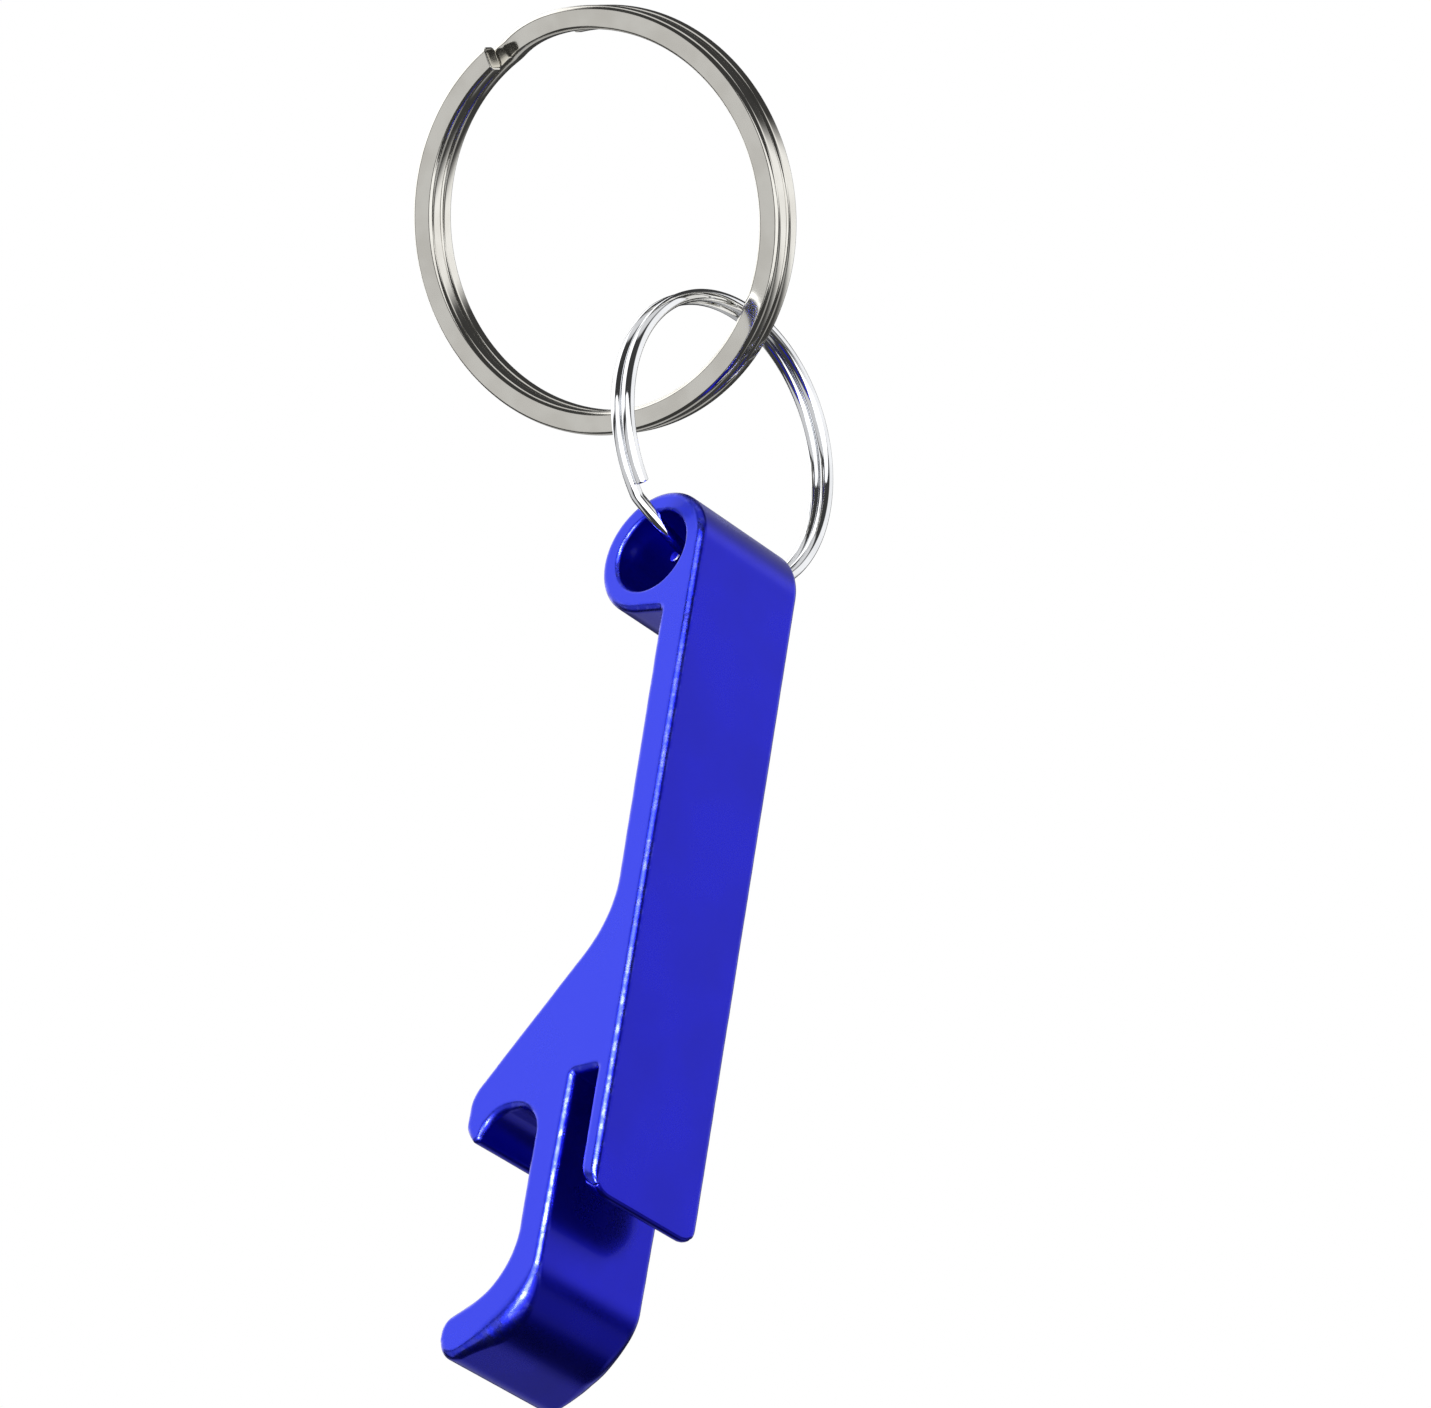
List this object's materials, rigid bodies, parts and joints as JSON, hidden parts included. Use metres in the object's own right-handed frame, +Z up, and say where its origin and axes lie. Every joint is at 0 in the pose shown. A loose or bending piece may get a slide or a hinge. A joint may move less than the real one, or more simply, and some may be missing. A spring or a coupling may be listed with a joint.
{
  "type": "keychain bottle opener",
  "caption": "Blue anodised aluminium bottle opener for a keychain, with an eye, a hooked mouth and a lever tab, hanging on linked split rings.",
  "frame": {"origin": "highest inner point of the large split ring, where a hook or a finger holds it", "axes": "+Z up as it hangs; +Y along the opener's extrusion, the eye's axis; +X out of the opener's flat back, so the tooth faces -X"},
  "size_m": [0.0293, 0.0268, 0.097],
  "materials": {
    "blue_anodised_aluminium": "tumbled, bright blue anodised, satin gloss",
    "chromed_spring_wire": "bright chrome",
    "nickel_plated_spring_wire": "nickel plated, slightly dulled by use"
  },
  "bodies": {
    "large_ring": {"large_split_ring": "nickel_plated_spring_wire"},
    "small_ring": {"small_split_ring": "chromed_spring_wire"},
    "opener": {"opener_body": "blue_anodised_aluminium"}
  },
  "joints": [
    {"name": "small_ring_swing", "type": "hinge", "parent": "large_ring", "child": "small_ring", "pos_m": [0.00671, 0.01411, -0.01981], "axis": [1, 0, 0], "range_deg": [-100, 150]},
    {"name": "opener_swing", "type": "hinge", "parent": "small_ring", "child": "opener", "pos_m": [0.00671, 0.01411, -0.03786], "axis": [0, 1, 0], "range_deg": [-135, 105]}
  ]
}
